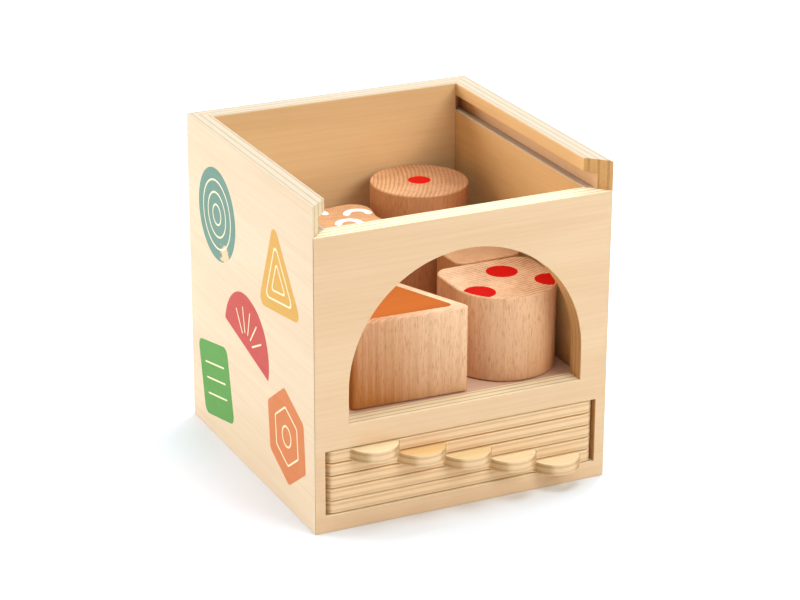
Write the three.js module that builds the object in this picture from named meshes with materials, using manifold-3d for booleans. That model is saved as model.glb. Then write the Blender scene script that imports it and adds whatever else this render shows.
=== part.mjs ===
// Shape sorter box: a mitred plywood box with a block compartment over a bay of five sliding lids.
// Millimetres, +Z up. The origin is the middle of the underside, and the open front looks along -Y.

import * as THREE from 'three';
import { mergeVertices } from 'three/addons/utils/BufferGeometryUtils.js';
import Module from 'manifold-3d';

const wasm = await Module();
wasm.setup();

// Walls
const BOX_WIDTH = 150;
const BOX_DEPTH = 150;
const BOX_HEIGHT = 158;
const WALL = 10;
const WALL_EASE = 0.9;
const JOINT_GAP = 0.25;

// Lid grooves under the top edge of both side walls
const LIP_HEIGHT = 6.6;
const GROOVE_HEIGHT = 7.6;
const GROOVE_DEPTH = 4.7;

// Floor, shelf and front panel
const BASE_THICKNESS = 8;
const BASE_STEP = 0.4;
const SHELF_THICKNESS = 6;
const SILL_RAIL = 11.5;
const SILL_STEP = 0.5;
const WINDOW_STILE = 15.6;
const WINDOW_SHIFT = 1.5;
const WINDOW_TOP_RAIL = 16.4;

// Lids
const LID_COUNT = 5;
const LID_THICKNESS = 6;
const LID_GAP = 0.3;
const LID_HEADROOM = 0.6;
const LID_SIDE_CLEARANCE = 0.7;
const LID_BACK_CLEARANCE = 0.5;
const LID_FRONT_RECESS = 0.5;
const LID_CORNER = 4;
const LID_EASE = 0.6;
const TAB_CHORD = 24;
const TAB_REACH = 9.5;
const TAB_FILLET = 2.5;
const TAB_LEFT_MARGIN = 6.16;
const TAB_RIGHT_MARGIN = 1.36;

// Blocks
const BLOCK_EASE = 1;
const BLOCK_GAP = 1.2;
const BLOCK_SEAT = 0.3;
const HOLE_CLEARANCE = 1.5;
const SHORT_HEIGHT = 42;
const CYLINDER_DIAMETER = 48.6;
const CYLINDER_HEIGHT = 67.5;
const CYLINDER_SIDE_GAP = 8.2;
const TRIANGLE_CORNER = 3;
const TRIANGLE_TURN = THREE.MathUtils.degToRad(-2);
const TRIANGLE_GAP = 3.5;
const TRIANGLE_SIDE_GAP = 15.3;
const ARCH_WIDTH = 51;
const ARCH_CORNER = 8;
const BAR_WIDTH = 36;
const BAR_DEPTH = 25.9;
const BAR_CORNER = 6;
const BAR_TURN = THREE.MathUtils.degToRad(2);
const SCALLOP_RADIUS = 22;
const SCALLOP_WAVE = 3;
const SCALLOP_LOBES = 4;
const SCALLOP_TURN = THREE.MathUtils.degToRad(43);
const SCALLOP_HEIGHT = 58.2;
const SCALLOP_BACK_GAP = 13.7;

// Facets and cutting tools
const CHORD_ERROR = 0.04;
const EASE_STEPS = 2;
const SCALLOP_STEPS = 72;
const OVERCUT = 5;

// Levels and spaces that follow from the sizes above
const outerX = BOX_WIDTH / 2;
const outerY = BOX_DEPTH / 2;
const innerX = outerX - WALL;
const innerY = outerY - WALL;
const lidWayX = innerX + GROOVE_DEPTH;
const frontHeight = BOX_HEIGHT - LIP_HEIGHT - GROOVE_HEIGHT;
const lidPitch = LID_THICKNESS + LID_GAP;
const bayFloor = BASE_THICKNESS + BASE_STEP;
const bayTop = bayFloor + LID_COUNT * lidPitch + LID_HEADROOM;
const sillHeight = bayTop + SILL_RAIL;
const shelfTop = sillHeight - SILL_STEP;
const shelfBottom = shelfTop - SHELF_THICKNESS;
const windowRadius = outerX - WINDOW_STILE;
const windowSpring = frontHeight - WINDOW_TOP_RAIL - windowRadius;

// Solids

function toSolid(geometry) {
  const bare = geometry.clone();
  bare.deleteAttribute('normal');
  bare.deleteAttribute('uv');
  const welded = mergeVertices(bare.index ? bare.toNonIndexed() : bare, 1e-4);
  return new wasm.Manifold(new wasm.Mesh({
    numProp: 3,
    vertProperties: new Float32Array(welded.attributes.position.array),
    triVerts: new Uint32Array(welded.index.array),
  }));
}

function toGeometry(solid) {
  const mesh = solid.getMesh();
  const geometry = new THREE.BufferGeometry();
  const positions = new Float32Array(mesh.vertProperties);
  geometry.setAttribute('position', new THREE.BufferAttribute(positions, 3));
  geometry.setIndex(new THREE.BufferAttribute(new Uint32Array(mesh.triVerts), 1));
  geometry.computeVertexNormals();
  return geometry;
}

// Points along an arc, with chords that stay within the chord error of it
function arc(x, y, radius, from, to) {
  const widest = 2 * Math.acos(1 - CHORD_ERROR / radius);
  const steps = Math.ceil(Math.abs(to - from) / widest);
  const curve = new THREE.EllipseCurve(x, y, radius, radius, from, to, to < from);
  return curve.getPoints(steps);
}

// A straight bar of one section, from -length/2 to +length/2
function extrusion(shape, length) {
  const options = { depth: length, bevelEnabled: false };
  return new THREE.ExtrudeGeometry(shape, options).translate(0, 0, -length / 2);
}

// A section drawn in X and Z, run along Y
function alongY(shape, length) {
  return toSolid(extrusion(shape, length).rotateX(Math.PI / 2));
}

// A plan outline raised from z = 0, with eased edges at both ends
function easedPrism(outline, height, ease) {
  return new THREE.ExtrudeGeometry(outline, {
    depth: height - 2 * ease,
    bevelThickness: ease,
    bevelSize: ease,
    bevelOffset: -ease,
    bevelSegments: EASE_STEPS,
  }).translate(0, 0, ease);
}

function point(x, y) {
  return new THREE.Vector2(x, y);
}

function rectangle(left, bottom, right, top) {
  return new THREE.Shape([point(left, bottom), point(right, bottom), point(right, top), point(left, top)]);
}

// The outline that runs round a convex loop of centres at one distance
function roundedLoop(centres, radius) {
  const count = centres.length;
  const facing = (from, to) => to.clone().sub(from).angle() - Math.PI / 2;
  const points = centres.flatMap((centre, i) => {
    const before = facing(centres[(i + count - 1) % count], centre);
    const after = facing(centre, centres[(i + 1) % count]);
    const turn = THREE.MathUtils.euclideanModulo(after - before, 2 * Math.PI);
    return arc(centre.x, centre.y, radius, before, before + turn);
  });
  return new THREE.Shape(points);
}

// Walls

// Section of a wall: u runs inward from the outer face, v is the height
function wallSection(height, housings) {
  const shoulder = height - WALL_EASE;
  const notches = housings.flatMap(({ bottom, top }) => [
    point(WALL, bottom),
    point(WALL - GROOVE_DEPTH, bottom),
    point(WALL - GROOVE_DEPTH, top),
    point(WALL, top),
  ]);
  return new THREE.Shape([
    point(0, 0),
    point(WALL, 0),
    ...notches,
    ...arc(WALL - WALL_EASE, shoulder, WALL_EASE, 0, Math.PI / 2),
    ...arc(WALL_EASE, shoulder, WALL_EASE, Math.PI / 2, Math.PI),
  ]);
}

// Plan of a wall mitred at both ends: u inward from the outer face, w along the wall
function mitrePrism(length) {
  const end = length / 2 - JOINT_GAP / Math.SQRT2;
  const plan = new THREE.Shape([
    point(0, -end),
    point(WALL, WALL - end),
    point(WALL, end - WALL),
    point(0, end),
  ]);
  const prism = extrusion(plan, BOX_HEIGHT + 2 * OVERCUT);
  return toSolid(prism.translate(0, 0, BOX_HEIGHT / 2));
}

// A wall seen with its outer face at u = 0, its inner face at u = WALL and its length along w
function mitredWall(length, height, housings) {
  return alongY(wallSection(height, housings), length).intersect(mitrePrism(length));
}

const bayHousing = { bottom: bayFloor, top: bayTop };
const shelfHousing = { bottom: shelfBottom - JOINT_GAP, top: shelfTop + JOINT_GAP };
const lidHousing = { bottom: frontHeight, top: frontHeight + GROOVE_HEIGHT };

function sideWall() {
  return mitredWall(BOX_DEPTH, BOX_HEIGHT, [bayHousing, shelfHousing, lidHousing]);
}

function backWall() {
  return mitredWall(BOX_WIDTH, BOX_HEIGHT, [shelfHousing]);
}

// The front is lower than the sides, so that a lid slides in over it
function frontWall() {
  const plain = mitredWall(BOX_WIDTH, frontHeight, []).rotate([0, 0, 90]).translate([0, -outerY, 0]);
  const windowShape = new THREE.Shape([
    point(WINDOW_SHIFT - windowRadius, sillHeight),
    point(WINDOW_SHIFT + windowRadius, sillHeight),
    ...arc(WINDOW_SHIFT, windowSpring, windowRadius, 0, Math.PI),
  ]);
  const slotShape = rectangle(-lidWayX, bayFloor, lidWayX, bayTop);
  const through = (shape) => alongY(shape, 2 * (WALL + OVERCUT)).translate([0, -outerY, 0]);
  return plain.subtract(through(windowShape)).subtract(through(slotShape));
}

// Floor and shelf

function basePanel() {
  const x = innerX - JOINT_GAP;
  const y = innerY - JOINT_GAP;
  const options = { depth: BASE_THICKNESS, bevelEnabled: false };
  return new THREE.ExtrudeGeometry(rectangle(-x, -y, x, y), options);
}

// The shelf stands in housings in the sides and the back, and butts against the front
function shelfPanel() {
  const x = lidWayX - JOINT_GAP;
  const front = -innerY + JOINT_GAP;
  const back = innerY + GROOVE_DEPTH - JOINT_GAP;
  const options = { depth: SHELF_THICKNESS, bevelEnabled: false };
  const plain = new THREE.ExtrudeGeometry(rectangle(-x, front, x, back), options);
  return plain.translate(0, 0, shelfBottom);
}

// Where the blocks stand: the arch, bar and cylinder fill the depth of the compartment on the right

const cylinderRadius = CYLINDER_DIAMETER / 2;
const cylinderPlace = point(
  innerX - CYLINDER_SIDE_GAP - cylinderRadius,
  innerY - BLOCK_GAP - cylinderRadius,
);
const barSlant = Math.abs(Math.sin(BAR_TURN));
const barReachX = (BAR_WIDTH * Math.cos(BAR_TURN) + BAR_DEPTH * barSlant) / 2;
const barReachY = (BAR_DEPTH * Math.cos(BAR_TURN) + BAR_WIDTH * barSlant) / 2;
const barPlace = point(
  innerX - BLOCK_GAP - barReachX,
  cylinderPlace.y - cylinderRadius - BLOCK_GAP - barReachY,
);
const archFront = -innerY + BLOCK_GAP;
const archBack = barPlace.y - barReachY - BLOCK_GAP;
const archDepth = archBack - archFront;
const archPlace = point(innerX - BLOCK_GAP - ARCH_WIDTH / 2, (archFront + archBack) / 2);

// The scallop stands against the cylinder, and the triangle fills the space in front of it

const scallopReach = SCALLOP_RADIUS + SCALLOP_WAVE;
const scallopY = innerY - SCALLOP_BACK_GAP - scallopReach;
const scallopApart = scallopReach + BLOCK_GAP + cylinderRadius;
const scallopPlace = point(
  cylinderPlace.x - Math.sqrt(scallopApart ** 2 - (cylinderPlace.y - scallopY) ** 2),
  scallopY,
);
const triangleLeft = -innerX + TRIANGLE_SIDE_GAP;
const triangleRight = archPlace.x - ARCH_WIDTH / 2 - TRIANGLE_GAP;
const triangleHalfBase = (triangleRight - triangleLeft) / 2 - TRIANGLE_CORNER;
const triangleDip = triangleHalfBase * Math.abs(Math.sin(TRIANGLE_TURN));
const triangleFront = -innerY + BLOCK_GAP + triangleDip;
const triangleBack = scallopY - scallopReach - BLOCK_GAP;
const triangleReach = (triangleBack - triangleFront) / 2;
const triangleHalfDepth = (triangleReach - TRIANGLE_CORNER) / Math.cos(TRIANGLE_TURN);
const trianglePlace = point((triangleLeft + triangleRight) / 2, triangleFront + triangleReach);

// Each block's outline is drawn about its own middle, and grows by the clearance of its lid's hole

function cylinderOutline(grow = 0) {
  return new THREE.Shape(arc(0, 0, cylinderRadius + grow, 0, 2 * Math.PI).slice(1));
}

function triangleOutline(grow = 0) {
  const centres = [
    point(-triangleHalfBase, -triangleHalfDepth),
    point(triangleHalfBase, -triangleHalfDepth),
    point(0, triangleHalfDepth),
  ];
  return roundedLoop(centres, TRIANGLE_CORNER + grow);
}

function archOutline(grow = 0) {
  const radius = ARCH_WIDTH / 2;
  const spring = radius - archDepth / 2;
  const cornerX = radius - ARCH_CORNER;
  const cornerY = archDepth / 2 - ARCH_CORNER;
  return new THREE.Shape([
    ...arc(0, spring, radius + grow, Math.PI, 2 * Math.PI),
    ...arc(cornerX, cornerY, ARCH_CORNER + grow, 0, Math.PI / 2),
    ...arc(-cornerX, cornerY, ARCH_CORNER + grow, Math.PI / 2, Math.PI),
  ]);
}

function barOutline(grow = 0) {
  const x = BAR_WIDTH / 2 - BAR_CORNER;
  const y = BAR_DEPTH / 2 - BAR_CORNER;
  const centres = [point(-x, -y), point(x, -y), point(x, y), point(-x, y)];
  return roundedLoop(centres, BAR_CORNER + grow);
}

function scallopOutline(grow = 0) {
  const points = [];
  for (let i = 0; i < SCALLOP_STEPS; i += 1) {
    const angle = 2 * Math.PI * i / SCALLOP_STEPS;
    const wave = SCALLOP_WAVE * Math.cos(SCALLOP_LOBES * (angle - SCALLOP_TURN));
    const radius = SCALLOP_RADIUS + grow + wave;
    points.push(point(radius * Math.cos(angle), radius * Math.sin(angle)));
  }
  return new THREE.Shape(points);
}

function block(name, outline, height, place, turn = 0) {
  return { name, outline, height, place, turn };
}

const blocks = [
  block('cylinder', cylinderOutline, CYLINDER_HEIGHT, cylinderPlace),
  block('triangle', triangleOutline, SHORT_HEIGHT, trianglePlace, TRIANGLE_TURN),
  block('arch', archOutline, SHORT_HEIGHT, archPlace),
  block('bar', barOutline, SHORT_HEIGHT, barPlace, BAR_TURN),
  block('scallop', scallopOutline, SCALLOP_HEIGHT, scallopPlace),
];

// Lids

const lidHalf = lidWayX - LID_SIDE_CLEARANCE;
const lidFront = -outerY + LID_FRONT_RECESS;
const lidBack = innerY - LID_BACK_CLEARANCE;

// The half-round pull tab on the front edge of a lid, with a fillet at each side of its root
const tabRadius = (TAB_CHORD ** 2 / 4 + TAB_REACH ** 2) / (2 * TAB_REACH);
const tabY = lidFront - TAB_REACH + tabRadius;
const filletY = lidFront - TAB_FILLET;
const filletX = Math.sqrt((tabRadius + TAB_FILLET) ** 2 - (tabY - filletY) ** 2);
const filletLean = Math.atan2(tabY - filletY, filletX);

function tabPoints(x) {
  return [
    ...arc(x - filletX, filletY, TAB_FILLET, Math.PI / 2, filletLean),
    ...arc(x, tabY, tabRadius, Math.PI + filletLean, 2 * Math.PI - filletLean).slice(1, -1),
    ...arc(x + filletX, filletY, TAB_FILLET, Math.PI - filletLean, Math.PI / 2),
  ];
}

// The tabs step from left to right, between the corners of the front edge
const firstTab = -lidHalf + LID_CORNER + TAB_LEFT_MARGIN + filletX;
const lastTab = lidHalf - LID_CORNER - TAB_RIGHT_MARGIN - filletX;
const tabPitch = (lastTab - firstTab) / (LID_COUNT - 1);

function lidOutline(tabX, hole) {
  const x = lidHalf - LID_CORNER;
  const front = lidFront + LID_CORNER;
  const back = lidBack - LID_CORNER;
  const shape = new THREE.Shape([
    ...arc(-x, front, LID_CORNER, Math.PI, 1.5 * Math.PI),
    ...tabPoints(tabX),
    ...arc(x, front, LID_CORNER, 1.5 * Math.PI, 2 * Math.PI),
    ...arc(x, back, LID_CORNER, 0, 0.5 * Math.PI),
    ...arc(-x, back, LID_CORNER, 0.5 * Math.PI, Math.PI),
  ]);
  shape.holes.push(hole);
  return shape;
}

// The hole of a lid is its block's outline with clearance, in the middle of the compartment
function lidPanel(index) {
  const tabX = firstTab + index * tabPitch;
  const hole = blocks[index % blocks.length].outline(HOLE_CLEARANCE);
  const bottom = bayFloor + LID_GAP + (LID_COUNT - 1 - index) * lidPitch;
  return easedPrism(lidOutline(tabX, hole), LID_THICKNESS, LID_EASE).translate(0, 0, bottom);
}

// Materials and meshes

const wallWood = { color: '#ead0a2', roughness: 0.62, metalness: 0 };
const floorWood = { color: '#dcb992', roughness: 0.68, metalness: 0 };
const lidWood = { color: '#e8cb96', roughness: 0.6, metalness: 0 };
const beech = { color: '#cf9f6d', roughness: 0.55, metalness: 0 };

function piece(name, shape, finish) {
  const solid = shape.isBufferGeometry ? toSolid(shape) : shape;
  const mesh = new THREE.Mesh(toGeometry(solid), new THREE.MeshStandardMaterial(finish));
  mesh.name = name;
  return mesh;
}

function buildCarcass() {
  const carcass = new THREE.Group();
  const left = piece('left_panel', sideWall(), wallWood);
  left.position.x = -outerX;
  const right = piece('right_panel', sideWall(), wallWood);
  right.position.x = outerX;
  right.rotation.z = Math.PI;
  const back = piece('back_panel', backWall(), wallWood);
  back.position.y = outerY;
  back.rotation.z = -Math.PI / 2;
  const front = piece('front_panel', frontWall(), wallWood);
  const base = piece('bottom_panel', basePanel(), floorWood);
  const shelf = piece('shelf_panel', shelfPanel(), floorWood);
  carcass.add(left, right, back, front, base, shelf);
  return carcass;
}

function buildLids() {
  const lids = new THREE.Group();
  for (let index = 0; index < LID_COUNT; index += 1) {
    lids.add(piece(`lid_${index + 1}`, lidPanel(index), lidWood));
  }
  return lids;
}

function buildBlocks() {
  const group = new THREE.Group();
  for (const { name, outline, height, place, turn } of blocks) {
    const mesh = piece(`${name}_block`, easedPrism(outline(), height, BLOCK_EASE), beech);
    mesh.position.set(place.x, place.y, shelfTop + BLOCK_SEAT);
    mesh.rotation.z = turn;
    group.add(mesh);
  }
  return group;
}

const sorter = new THREE.Group();
sorter.add(buildCarcass(), buildLids(), buildBlocks());

export default sorter;
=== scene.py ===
# %% [markdown]
# # A shape sorter box in plywood and beech
#
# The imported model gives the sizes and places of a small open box, its five sliding lids and
# its five loose blocks. This lesson gives each solid the surface of its wood: eased edges, veneer
# with plies on every cut edge, end grain and flecks on the blocks, and thin coats of paint. Every
# piece is worked out with numpy, in millimetres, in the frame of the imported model.

# %% Load the frame
import math

import bpy
import numpy as np
from mathutils import Color, Matrix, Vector
from mathutils.geometry import tessellate_polygon


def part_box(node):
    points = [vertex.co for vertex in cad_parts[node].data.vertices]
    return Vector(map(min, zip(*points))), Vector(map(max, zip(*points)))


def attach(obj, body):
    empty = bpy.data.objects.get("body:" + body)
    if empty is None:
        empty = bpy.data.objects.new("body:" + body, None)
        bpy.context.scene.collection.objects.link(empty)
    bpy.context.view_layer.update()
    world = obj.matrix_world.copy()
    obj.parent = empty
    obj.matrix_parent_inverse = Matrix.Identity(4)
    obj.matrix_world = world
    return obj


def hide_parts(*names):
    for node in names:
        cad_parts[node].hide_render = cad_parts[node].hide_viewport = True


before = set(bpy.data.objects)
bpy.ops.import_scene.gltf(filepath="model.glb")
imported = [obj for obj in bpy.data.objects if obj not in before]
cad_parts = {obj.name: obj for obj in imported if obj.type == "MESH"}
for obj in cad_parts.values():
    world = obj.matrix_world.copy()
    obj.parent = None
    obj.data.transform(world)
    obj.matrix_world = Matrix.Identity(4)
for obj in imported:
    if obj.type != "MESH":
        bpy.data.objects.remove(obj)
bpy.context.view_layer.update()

MM = 0.001

# %% [markdown]
# ## The camera
#
# A camera could be aimed by eye, but a portrait only lines up when its angles and its distance
# are right together. Here the direction back to the camera comes from an azimuth and an
# elevation, the level is turned by a small roll, and the lens follows from the focal length
# in pixels of an 800 by 600 image.

# %% Camera
IMAGE_WIDTH = 800
FOCAL_PIXELS = 2586.4
SENSOR_WIDTH = 36.0
EYE = np.array([-497.15, -1039.83, 533.98]) * MM
AZIMUTH, ELEVATION, ROLL = np.radians([-25.70, 21.69, -0.2285])


def unit(vectors):
    """Every vector divided by its own length."""
    return vectors / np.linalg.norm(vectors, axis=-1, keepdims=True)


def new_object(name, data):
    """An object that shows the data in the scene."""
    item = bpy.data.objects.new(name, data)
    bpy.context.collection.objects.link(item)
    return item


def aim(item, across, upward, backward, place):
    """Turns an object to three axes square to each other and carries it to its place."""
    pose = np.eye(4)
    pose[:3] = np.stack([across, upward, backward, place], axis=1)
    item.matrix_world = Matrix(pose.tolist())


back = np.array([
    np.sin(AZIMUTH) * np.cos(ELEVATION),
    -np.cos(AZIMUTH) * np.cos(ELEVATION),
    np.sin(ELEVATION),
])
right = unit(np.cross([0, 0, 1], back))
above = np.cross(back, right)
level = np.cos(ROLL) * right - np.sin(ROLL) * above
upright = np.sin(ROLL) * right + np.cos(ROLL) * above

view = bpy.data.cameras.new("portrait")
view.sensor_fit = "HORIZONTAL"
view.sensor_width = SENSOR_WIDTH
view.lens = FOCAL_PIXELS / IMAGE_WIDTH * SENSOR_WIDTH
camera = new_object("portrait", view)
aim(camera, level, upright, back, EYE)
bpy.context.scene.camera = camera
print(f"lens {view.lens:.1f} mm, {np.linalg.norm(EYE):.2f} m from the box")

# %% [markdown]
# ## Nodes in few words
#
# Materials here are networks of small nodes, and these helpers keep the later cells short. A
# socket knows its tree, so a new node joins the tree of what it is fed with.

# %% Node helpers
# Numbers of the Mix node's two inputs and of its result
MIX_SOCKETS = {"FLOAT": (2, 3, 0), "RGBA": (6, 7, 2)}


def feed(sockets, values):
    """Link an output into each named socket, or set the socket's own value."""
    for label, value in values.items():
        if isinstance(value, bpy.types.NodeSocket):
            value.id_data.links.new(value, sockets[label])
        else:
            sockets[label].default_value = value


def add_node(tree, kind, values, **options):
    """A new node with its options chosen and its sockets fed."""
    node = tree.nodes.new("ShaderNode" + kind)
    for label, option in options.items():
        setattr(node, label, option)
    feed(node.inputs, values)
    return node


def calc(operation, *terms, kind="Math", output=0):
    """One step of arithmetic, in the tree that the first term comes from."""
    tree = terms[0].id_data
    return add_node(tree, kind, dict(enumerate(terms)), operation=operation).outputs[output]


def measure(operation, *vectors):
    """One step of arithmetic on vectors that gives a value."""
    return calc(operation, *vectors, kind="VectorMath", output="Value")


def weigh(value, weight, rest=0.0):
    """value * weight + rest."""
    return calc("MULTIPLY_ADD", value, weight, rest)


def square(value):
    """A value times itself."""
    return weigh(value, value)


def crests(turns):
    """1/2 - 1/2 cos(2 pi * turns): 0 at every whole turn, and 1 half way to the next."""
    return weigh(calc("COSINE", weigh(turns, 2 * math.pi)), -0.5, 0.5)


def split(vector):
    """The three parts of a vector."""
    return add_node(vector.id_data, "SeparateXYZ", {0: vector}).outputs


def stretch(vector, factors):
    """A vector with each part multiplied by its own factor."""
    return calc("MULTIPLY", vector, factors, kind="VectorMath")


def noise(vector, waves, detail=3.0, rough=0.55, bend=0.0):
    """Soft noise from 0 to 1, with its own number of waves per metre along each axis."""
    return add_node(vector.id_data, "TexNoise", {
        "Vector": stretch(vector, waves), "Scale": 1.0,
        "Detail": detail, "Roughness": rough, "Distortion": bend,
    }).outputs[0]


def ease(value, low, high):
    """0 below low, 1 above high and a smooth step between them."""
    limits = {"Value": value, "From Min": low, "From Max": high}
    return add_node(value.id_data, "MapRange", limits, interpolation_type="SMOOTHSTEP").outputs[0]


def tint(share, first, second, blend="MIX", kind="RGBA"):
    """The first colour, turned into the second by share, or multiplied by it."""
    low, high, result = MIX_SOCKETS[kind]
    parts = {"Factor": share, low: first, high: second}
    return add_node(share.id_data, "Mix", parts, data_type=kind, blend_type=blend).outputs[result]


def between(share, first, second):
    """The first value, turned into the second by share."""
    return tint(share, first, second, kind="FLOAT")


def new_group(name, inputs, outputs):
    """An empty node group with sockets named by kind: its tree, what enters and what leaves."""
    tree = bpy.data.node_groups.new(name, "ShaderNodeTree")
    for side, sockets in (("INPUT", inputs), ("OUTPUT", outputs)):
        for kind, labels in sockets.items():
            for label in labels:
                tree.interface.new_socket(label, in_out=side, socket_type="NodeSocket" + kind)
    return tree, tree.nodes.new("NodeGroupInput").outputs, tree.nodes.new("NodeGroupOutput").inputs


def colour(code):
    """A colour written as in a paint chart, made linear light for the shader."""
    parts = [part / 255 for part in bytes.fromhex(code[1:])]
    return (*Color(parts).from_srgb_to_scene_linear(), 1.0)


print("white is", colour("#ffffff"))

# %% [markdown]
# ## Plywood
#
# Plywood is a stack of thin veneers with their grain crossed. A flat picture of wood would
# break at every edge, so the material is solid. Each point of a piece carries two attributes:
# stock is its place in the sheet, along the face grain, across it and in depth, and facing is
# the way its surface looks in those axes. The depth decides the ply, and towards the inner face
# it tints the veneer warmer, a painted shade for the inside of the box. The facing tells a face
# of plain veneer from a long edge, where pale and dark plies show by turns, and from an end,
# which is the darkest.

# %% Plywood group
PLY_COLOURS = ("Pale", "Grain", "Inner", "Edge", "Ply", "End")
WOOD_OUTPUTS = {"Color": ["Color"], "Float": ["Roughness", "Height"]}
END_DARK = (0.05, 0.025, 0.01, 1.0)
# Noises: waves per metre along the grain, across it and in depth, then detail, roughness and bend
LONG_STREAK = ((14, 620, 620), 4.0, 0.6, 0.15)
CROSS_STREAK = ((620, 14, 620), 4.0, 0.6, 0.15)
FIGURE = ((5, 48, 48), 3.0, 0.55, 0.8)
HAIR = ((90, 1500, 1500), 2.0)
SAW_GRIT = ((900, 900, 900), 3.0, 0.6)
# Limits between which a value is eased from 0 to 1
PLY_PEAK = 0.92
ON_END, ON_FACE, INWARD = (0.1, 0.4), (0.6, 0.9), (0.4, 0.9)
FINE, BROAD, PORES = (0.30, 0.72), (0.32, 0.70), (0.62, 0.76)
HAIRLINES, SAWN, DARK_PLY = (0.42, 0.66), (0.40, 0.72), (0.4, 1.0)
# How much each of them tells in the colour, the roughness and the height
FINE_TONE, BROAD_TONE, PORE_TONE = 0.45, 0.55, 0.30
PLY_ON_FACE, PLY_ON_EDGE, PLY_ON_END = 0.45, 0.75, 0.25
LINES_ON_EDGE, GRIT_ON_END = 0.20, 0.10
EDGE_ROUGH, GRAIN_ROUGH, FACE_ROUGH = 0.62, 0.08, -0.16
PORE_HEIGHT, GRAIN_HEIGHT = -0.5, -0.4


def make_plywood_group():
    """Cross plies are where 1/2 - 1/2 cos(2 pi * count * depth / thickness) is near its peaks.
    The squares of the facing's parts tell a face from a long edge and from an end."""
    tree, enter, leave = new_group("Plywood", {
        "Vector": ["Stock", "Facing"], "Float": ["Thickness", "Cross Plies", "Rim"],
        "Color": PLY_COLOURS,
    }, WOOD_OUTPUTS)
    stock = enter["Stock"]
    depth = calc("DIVIDE", split(stock)[2], enter["Thickness"])
    wave = crests(weigh(depth, enter["Cross Plies"]))
    crossed = ease(wave, enter["Rim"], PLY_PEAK)
    facing = split(enter["Facing"])
    on_end = ease(square(facing[0]), *ON_END)
    on_face = ease(square(facing[2]), *ON_FACE)

    long_streak = noise(stock, *LONG_STREAK)
    cross_streak = noise(stock, *CROSS_STREAK)
    fine = ease(between(crossed, long_streak, cross_streak), *FINE)
    broad = ease(noise(stock, *FIGURE), *BROAD)
    hair = noise(stock, *HAIR)
    pores = ease(hair, *PORES)
    sawn = ease(noise(stock, *SAW_GRIT), *SAWN)

    shade = weigh(fine, FINE_TONE, weigh(broad, BROAD_TONE))
    shade = weigh(pores, PORE_TONE, shade)
    veneer = tint(shade, enter["Pale"], enter["Grain"])
    # Painted shade: towards the inner face the veneer is multiplied by the Inner Shade tint.
    veneer = tint(ease(depth, *INWARD), veneer, enter["Inner"], "MULTIPLY")
    face = tint(weigh(crossed, PLY_ON_FACE), veneer, enter["End"])

    lines = weigh(ease(hair, *HAIRLINES), LINES_ON_EDGE)
    side = tint(weigh(crossed, PLY_ON_EDGE, lines), enter["Edge"], enter["Ply"])
    dark_ply = weigh(ease(crossed, *DARK_PLY), PLY_ON_END)
    end = tint(weigh(sawn, GRIT_ON_END, dark_ply), enter["End"], END_DARK)
    edge = tint(on_end, side, end)
    rough = weigh(fine, GRAIN_ROUGH, EDGE_ROUGH)
    feed(leave, {
        "Color": tint(on_face, edge, face),
        "Roughness": weigh(on_face, FACE_ROUGH, rough),
        "Height": weigh(pores, PORE_HEIGHT, weigh(fine, GRAIN_HEIGHT)),
    })
    return tree


plywood_group = make_plywood_group()
print("plywood nodes:", len(plywood_group.nodes))

# %% [markdown]
# ## Beech
#
# The blocks are sawn from solid beech, with the grain standing upright. Rings round a pith far
# outside the block draw curved lines on the top and soft upright bands on the sides. The short
# dark dashes on beech are its rays, made from a noise that is pulled out along the grain and cut
# off at a threshold. The facing keeps the rings strong on the ends and the dashes strong on the
# sides. A painted shade moves the tone slowly from pale to warm across the block and down to its
# foot, for the shade that the box and its window throw on it.

# %% Beech group
RING_WIDTH = 2.05 * MM
RING_WANDER = 3.0 * MM
# Noises: waves per metre across the grain, in depth and along it, then detail and roughness
WANDER = ((34, 34, 4), 2.0)
CLEARNESS = ((40, 40, 4), 2.0)
BAND = ((170, 170, 5), 3.0, 0.6)
THREAD = ((1100, 1100, 26), 3.0, 0.65)
RAYS = ((2700, 2700, 230), 2.0)
# Limits between which a value is eased from 0 to 1
LATE, CLEAR, STRIPE, DASH = (0.35, 1.0), (0.35, 0.62), (0.32, 0.70), (0.53, 0.67)
# How much each of them tells on the sides, and on the sawn ends
BAND_TONE, THREAD_TONE, DASH_TONE = (0.12, 0.25), (0.09, 0.20), (0.40, 0.15)
RINGS_ON_SIDE, FAINT_RINGS = 0.06, 0.45
BEECH_ROUGH, THREAD_ROUGH = 0.36, 0.20
DASH_HEIGHT, THREAD_HEIGHT = -0.15, 0.4


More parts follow.
